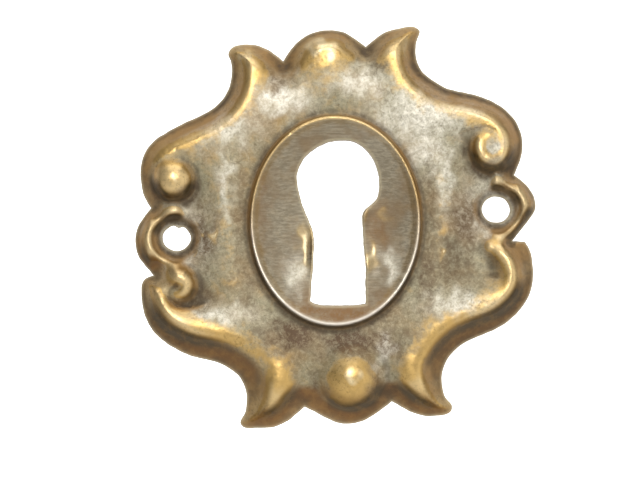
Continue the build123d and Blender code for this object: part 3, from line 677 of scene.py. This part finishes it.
def wear_values(q, whole, cut):
    """What the material reads at each front point: shape, place and patches, from 0 or -1 to 1."""
    slope_z, slope_x = np.gradient(whole, GRID)
    steep = np.hypot(slope_x, slope_z)
    bump = whole - blurred(whole, FINE_REACH)
    broad = whole - blurred(whole, BROAD_REACH)
    u = oval_u(q)
    return {
        "convex": np.clip(sample(bump, q) / FINE_FULL, -1, 1),
        "broad": np.clip(sample(broad, q) / BROAD_FULL, -1, 1),
        "steep": np.clip(sample(blurred(steep, 0.2), q) / STEEP_FULL, 0, 1),
        "down": np.clip(sample(blurred(slope_z, 0.25), q) / DOWN_FULL, -1, 1),
        "dish": ramp((1.0 - u) / 0.02),
        "edge": np.clip(1 - cut / BARE_EDGE_W, 0, 1),
        "flank": 1 - edge_u(q),
        "stain_and_shade": spots(q, STAINS_AND_SHADE),
        "silver": spots(q, PALE_WEAR_AND_SHEEN),
        "warm": spots(q, GOLD_WEAR_AND_GLINT),
        # A painted highlight along the rim crest, fading out toward the top.
        "rim": np.exp(-((u - 1) * OVAL_A / RIM_HIGHLIGHT_W)**2) * ramp((4 - q[:, 1]) / 9),
    }


def add_layer(mesh, name, values):
    layer = mesh.attributes.new(name, "FLOAT", "POINT")
    layer.data.foreach_set("value", values.astype(np.float32))


def build_mesh():
    rims = Rims()
    q, shape = grid_points()
    whole = front_height(q, rims)[0]
    whole = np.where(inside(q, rims.loops[0]), whole, EDGE_H).reshape(shape)
    back_grid = blurred(rolled_under(whole), BACK_SOFTEN)
    back_grid[back_grid < BACK_FLAT] = 0

    front_q, front_f = triangles(scatter(FRONT_STEP, rims, CUT_ROWS, 1), rims)
    back_q, back_f = triangles(scatter(BACK_STEP, rims, (), 2), rims)
    front_h, cut = front_height(front_q, rims)
    back_h = sample(back_grid, back_q)
    # Every cut edge's wall runs right back to the door, the keyhole's too.
    border = sum(len(loop) for loop in rims.loops)
    back_h[:border] = 0
    verts = np.concatenate([
        np.stack([front_q[:, 0], -front_h, front_q[:, 1]], 1),
        np.stack([back_q[:, 0], -back_h, back_q[:, 1]], 1),
    ])
    verts = np.clip(verts, np.array(CAD_BOX[0]) / MM, np.array(CAD_BOX[1]) / MM)
    shift = len(front_q)
    faces = [tuple(f) for f in front_f.tolist()]
    faces += [tuple(f) for f in (back_f[:, ::-1] + shift).tolist()]
    faces += wall_faces(rims.loops, shift)
    mesh = bpy.data.meshes.new("escutcheon")
    mesh.from_pydata((verts * MM).tolist(), [], faces)
    mesh.validate()
    mesh.polygons.foreach_set("use_smooth", np.ones(len(mesh.polygons), bool))

    none_behind = np.zeros(len(back_q))
    for name, values in wear_values(front_q, whole, cut).items():
        add_layer(mesh, name, np.concatenate([values, none_behind]))
    add_layer(mesh, "rear", np.arange(len(verts)) >= shift)
    piece = bpy.data.objects.new("escutcheon", mesh)
    bpy.context.scene.collection.objects.link(piece)
    return piece


class Graph:
    """Small helper for building a material's nodes."""

    def __init__(self, name):
        self.mat = bpy.data.materials.new(name)
        self.mat.use_nodes = True
        self.tree = self.mat.node_tree
        self.tree.nodes.clear()

    def node(self, kind, **inputs):
        n = self.tree.nodes.new(kind)
        for key, value in inputs.items():
            if key in n.inputs:
                self.put(n.inputs[key], value)
            else:
                setattr(n, key, value)
        return n

    def put(self, socket, value):
        if isinstance(value, bpy.types.NodeSocket):
            self.tree.links.new(value, socket)
        else:
            socket.default_value = value

    def math(self, operation, a, b, clamp=False):
        n = self.tree.nodes.new("ShaderNodeMath")
        n.operation = operation
        n.use_clamp = clamp
        self.put(n.inputs[0], a)
        self.put(n.inputs[1], b)
        return n.outputs[0]

    def band(self, value, low, high, to_low=0.0, to_high=1.0):
        """Smooth step from to_low where value is low to to_high where it is high."""
        n = self.tree.nodes.new("ShaderNodeMapRange")
        n.interpolation_type = "SMOOTHSTEP"
        for socket, v in zip(n.inputs[:5], (value, low, high, to_low, to_high)):
            self.put(socket, v)
        return n.outputs[0]

    def mix(self, amount, a, b):
        """Colour a where amount is 0 and colour b where it is 1."""
        n = self.tree.nodes.new("ShaderNodeMix")
        n.data_type = "RGBA"
        n.clamp_factor = True
        self.put(n.inputs["Factor"], amount)
        colours = [s for s in n.inputs if s.type == "RGBA"]
        self.put(colours[0], a)
        self.put(colours[1], b)
        return [s for s in n.outputs if s.type == "RGBA"][0]

    def attribute(self, name):
        return self.node("ShaderNodeAttribute", attribute_name=name).outputs["Fac"]

    def noise(self, place, scale, detail, rough, distortion=0.0):
        n = self.node("ShaderNodeTexNoise", Vector=place, Scale=scale, Detail=detail,
                      Roughness=rough, Distortion=distortion)
        return n.outputs["Fac"]


def rgb(r, g, b):
    """Linear colour from screen values of 0 to 255."""
    def line(v):
        v /= 255
        return v / 12.92 if v <= 0.04045 else ((v + 0.055) / 1.055)**2.4
    return (line(r), line(g), line(b), 1.0)


def aged_brass():
    g = Graph("aged_brass")
    place = g.node("ShaderNodeTexCoord").outputs["Object"]
    convex, broad = g.attribute("convex"), g.attribute("broad")
    steep, down = g.attribute("steep"), g.attribute("down")
    dish, edge, rear = g.attribute("dish"), g.attribute("edge"), g.attribute("rear")
    stain_and_shade, silver = g.attribute("stain_and_shade"), g.attribute("silver")
    warm, flank, rim = g.attribute("warm"), g.attribute("flank"), g.attribute("rim")

    blotch = g.noise(place, 220, 4, 0.6)            # tones about 4 mm across
    mottle = g.noise(place, 900, 5, 0.65, 0.3)      # about 1 mm
    speck = g.noise(place, 3200, 4, 0.7)            # about 0.3 mm
    grain = g.noise(place, 1900, 6, 0.75, 0.5)      # about 0.5 mm, ragged
    stretched = g.node("ShaderNodeMapping", Vector=place, Scale=(0.12, 1.0, 1.0)).outputs[0]
    brushed = g.noise(stretched, 4200, 3, 0.7)

    gold = rgb(198, 163, 98)
    pale = rgb(206, 194, 162)
    patina = rgb(140, 133, 106)
    umber = rgb(140, 108, 62)
    olive = rgb(66, 54, 33)
    dark = rgb(70, 56, 38)

    # The field: green-grey patina with brown blotches, a pale and dark grain, and its patches.
    field = g.mix(g.band(blotch, 0.35, 0.75, 0.0, 0.65), patina, umber)
    field = g.mix(g.band(grain, 0.45, 0.7, 0.0, 0.28), field, pale)
    field = g.mix(g.band(grain, 0.5, 0.3, 0.0, 0.3), field, olive)
    # Pale patches: worn metal, and a painted sheen on crests and slopes facing the light.
    pale_wear_and_sheen = g.math("MULTIPLY", silver, g.band(grain, 0.35, 0.65, 0.5, 1.2), clamp=True)
    field = g.mix(pale_wear_and_sheen, field, rgb(226, 221, 206))
    # Brown patches: real stains, and painted shade in the hollows round the beads, below the volute and
    # in the notch valleys.
    stains_and_painted_shade = g.math("MULTIPLY", stain_and_shade, g.band(grain, 0.65, 0.35, 0.6, 1.3), clamp=True)
    field = g.mix(stains_and_painted_shade, field, rgb(82, 61, 38))

    # High parts are worn to gold, which is paler on the crests and in the middles of the golden patches:
    # partly polish, partly a painted highlight.
    worn = g.math("ADD", g.band(convex, 0.05, 0.7), g.band(broad, 0.1, 0.9, 0.0, 0.5))
    worn = g.math("ADD", worn, g.band(mottle, 0.35, 0.65, -0.25, 0.25), clamp=True)
    worn = g.math("SUBTRACT", worn, g.math("MULTIPLY", silver, 0.7), clamp=True)
    worn = g.math("SUBTRACT", worn, stain_and_shade, clamp=True)
    # The golden patches add gold: partly polish, partly painted glints on the slot's lips and the flanks
    # facing up.
    worn = g.math("MAXIMUM", worn, g.math("MULTIPLY", warm, 0.9))
    colour = g.mix(g.math("MULTIPLY", worn, 0.85), field, gold)
    crest = g.math("MAXIMUM", g.band(convex, 0.6, 1.4, 0.0, 0.5), g.band(warm, 0.5, 0.85, 0.0, 0.6))
    colour = g.mix(crest, colour, rgb(232, 218, 182))

    # Slopes are painted a darker brown as shade, and those that lean down are dark: partly dirt, partly
    # painted shade from light falling from above.
    slope = g.math("MAXIMUM", g.band(steep, 0.25, 0.8), g.band(flank, 0.2, 0.6))
    slope = g.math("MULTIPLY", slope, g.band(blotch, 0.3, 0.6, 0.6, 1.0))
    slope = g.math("MULTIPLY", slope, g.band(warm, 0.0, 1.0, 1.0, 0.25))
    colour = g.mix(slope, colour, umber)
    under = g.math("MAXIMUM", g.band(flank, 0.05, 0.4), g.band(steep, 0.35, 0.8))
    under = g.math("MULTIPLY", under, g.band(down, -0.1, 0.45, 0.0, 0.95))
    shade = g.mix(g.band(steep, 0.3, 0.7), rgb(112, 76, 34), olive)
    shade = g.mix(g.band(flank, 0.7, 1.0, 0.0, 0.7), shade, rgb(110, 93, 65))
    shade = g.mix(g.band(mottle, 0.45, 0.65, 0.0, 0.25), shade, umber)
    colour = g.mix(under, colour, shade)

    # The hollows darken, partly grime and partly painted shade in the creases, with loose specks of
    # dirt.
    grime_and_shade = g.math("ADD", g.band(convex, -0.15, -1.1, 0.0, 0.6), g.band(broad, -0.2, -1.0, 0.0, 0.25))
    grime_and_shade = g.math("ADD", grime_and_shade, g.band(mottle, 0.35, 0.65, 0.12, -0.2), clamp=True)
    dirt = g.math("MULTIPLY", g.band(speck, 0.48, 0.7), g.band(blotch, 0.62, 0.42, 0.1, 0.45))
    grime_and_shade = g.math("MAXIMUM", grime_and_shade, g.math("MULTIPLY", dirt, g.band(dish, 0, 1, 1.0, 0.35)))
    colour = g.mix(grime_and_shade, colour, dark)

    # The dish is brushed from side to side, and has its own tones.
    dish_tone = g.mix(g.band(brushed, 0.35, 0.68), rgb(106, 96, 79), rgb(140, 130, 110))
    dish_tone = g.mix(g.band(blotch, 0.4, 0.65, 0.0, 0.7), dish_tone, rgb(108, 88, 62))
    dish_tone = g.mix(pale_wear_and_sheen, dish_tone, rgb(206, 200, 182))
    dish_tone = g.mix(stains_and_painted_shade, dish_tone, rgb(118, 86, 48))
    dish_mix = g.math("MULTIPLY", dish, g.band(grime_and_shade, 0.2, 0.7, 0.85, 0.3))
    dish_mix = g.math("MULTIPLY", dish_mix, g.band(warm, 0.0, 1.0, 1.0, 0.15))
    colour = g.mix(dish_mix, colour, dish_tone)

    # The rim crest's pale line, a painted highlight fading out toward the top, the bare cut edges and
    # the brown back.
    colour = g.mix(g.math("MULTIPLY", rim, 0.85), colour, rgb(212, 206, 196))
    colour = g.mix(g.math("MULTIPLY", edge, 0.5), colour, pale)
    back_tone = g.mix(g.band(mottle, 0.3, 0.7), rgb(96, 76, 50), rgb(140, 116, 78))
    colour = g.mix(rear, colour, back_tone)

    # Worn metal is glossier, and the grime and painted shade in the hollows and the patina are duller.
    metal = g.math("MINIMUM", g.band(grime_and_shade, 0.3, 1.0, 1.0, 0.3), g.band(worn, 0.2, 1.0, 0.38, 0.92))
    rough = g.math("ADD", g.band(mottle, 0.3, 0.7, 0.48, 0.58), g.band(grime_and_shade, 0.1, 0.9, 0.0, 0.2))
    rough = g.math("SUBTRACT", rough, g.band(worn, 0.3, 1.0, 0.0, 0.14))
    rough = g.math("ADD", rough, g.math("MULTIPLY", rear, 0.18), clamp=True)

    # Fine roughness, and brush strokes in the dish.
    fine = g.math("ADD", g.math("MULTIPLY", mottle, 0.5), g.math("MULTIPLY", speck, 0.5))
    strokes = g.math("MULTIPLY", brushed, g.math("MULTIPLY", dish, 0.8))
    relief = g.math("ADD", g.math("MULTIPLY", fine, g.band(dish, 0, 1, 1.0, 0.35)), strokes)
    bump = g.node("ShaderNodeBump", Height=relief, Distance=0.00006, Strength=0.6)
    shader = g.node("ShaderNodeBsdfPrincipled", Metallic=metal, Roughness=rough,
                    Normal=bump.outputs[0])
    g.put(shader.inputs["Base Color"], colour)
    out = g.node("ShaderNodeOutputMaterial")
    g.tree.links.new(shader.outputs[0], out.inputs["Surface"])
    return g.mat


def plain(name, colour, roughness, glow=0.0):
    """Even studio material, with a white glow for the backdrop."""
    g = Graph(name)
    shader = g.node("ShaderNodeBsdfPrincipled", Roughness=roughness)
    shader.inputs["Base Color"].default_value = colour
    shader.inputs["Emission Color"].default_value = (1, 1, 1, 1)
    shader.inputs["Emission Strength"].default_value = glow
    out = g.node("ShaderNodeOutputMaterial")
    g.tree.links.new(shader.outputs[0], out.inputs["Surface"])
    return g.mat


def panel(name, corners, material):
    """One flat piece of the studio."""
    mesh = bpy.data.meshes.new(name)
    mesh.from_pydata(corners, [], [(0, 1, 2, 3)])
    mesh.materials.append(material)
    ob = bpy.data.objects.new(name, mesh)
    bpy.context.scene.collection.objects.link(ob)


def lamp(name, place, size, power, colour=(1, 1, 1)):
    """Soft light aimed at the plate, out of the camera's sight."""
    data = bpy.data.lights.new(name, "AREA")
    data.shape = "RECTANGLE"
    data.size, data.size_y = size
    data.energy = power
    data.color = colour
    ob = bpy.data.objects.new(name, data)
    ob.location = place
    ob.rotation_euler = (-Vector(place)).to_track_quat("-Z", "Y").to_euler()
    ob.visible_camera = False
    bpy.context.scene.collection.objects.link(ob)


def studio():
    white = plain("backdrop_white", (0.9, 0.9, 0.9, 1), 1.0, 1.2)
    pale = plain("floor_pale", (0.75, 0.74, 0.72, 1), 0.9)
    floor_z, back_y, half = -0.15, 0.5, 2.0
    panel("backdrop", [(-half, back_y, floor_z), (half, back_y, floor_z),
                       (half, back_y, half), (-half, back_y, half)], white)
    panel("floor", [(-half, -half, floor_z), (half, -half, floor_z),
                    (half, back_y, floor_z), (-half, back_y, floor_z)], pale)
    lamp("key", (0.0, -0.36, 0.09), (0.16, 0.10), 0.7, (1.0, 0.99, 0.97))
    lamp("front", (0, -0.42, 0.04), (0.5, 0.4), 0.12)
    lamp("side", (0.34, -0.2, 0.02), (0.3, 0.4), 0.45)
    lamp("top", (0.0, -0.16, 0.34), (0.4, 0.25), 0.85)
    world = bpy.data.worlds.new("studio")
    world.use_nodes = True
    world.node_tree.nodes["Background"].inputs["Color"].default_value = (0.3, 0.3, 0.3, 1)
    bpy.context.scene.world = world

    view_mid = (-0.00183, -0.00181)       # x and z that the camera looks straight at
    distance = 0.17
    data = bpy.data.cameras.new("camera")
    data.lens = 85
    data.sensor_width = 36
    data.clip_start = 0.005
    data.clip_end = 10
    cam = bpy.data.objects.new("camera", data)
    cam.location = (view_mid[0], -distance, view_mid[1])
    cam.rotation_euler = (math.radians(90), 0, 0)
    bpy.context.scene.collection.objects.link(cam)
    bpy.context.scene.camera = cam
    bpy.context.scene.view_settings.view_transform = "Standard"
    bpy.context.scene.view_settings.look = "None"


plate = build_mesh()
plate.data.materials.append(aged_brass())
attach(plate, "root")
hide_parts("escutcheon_plate")
studio()
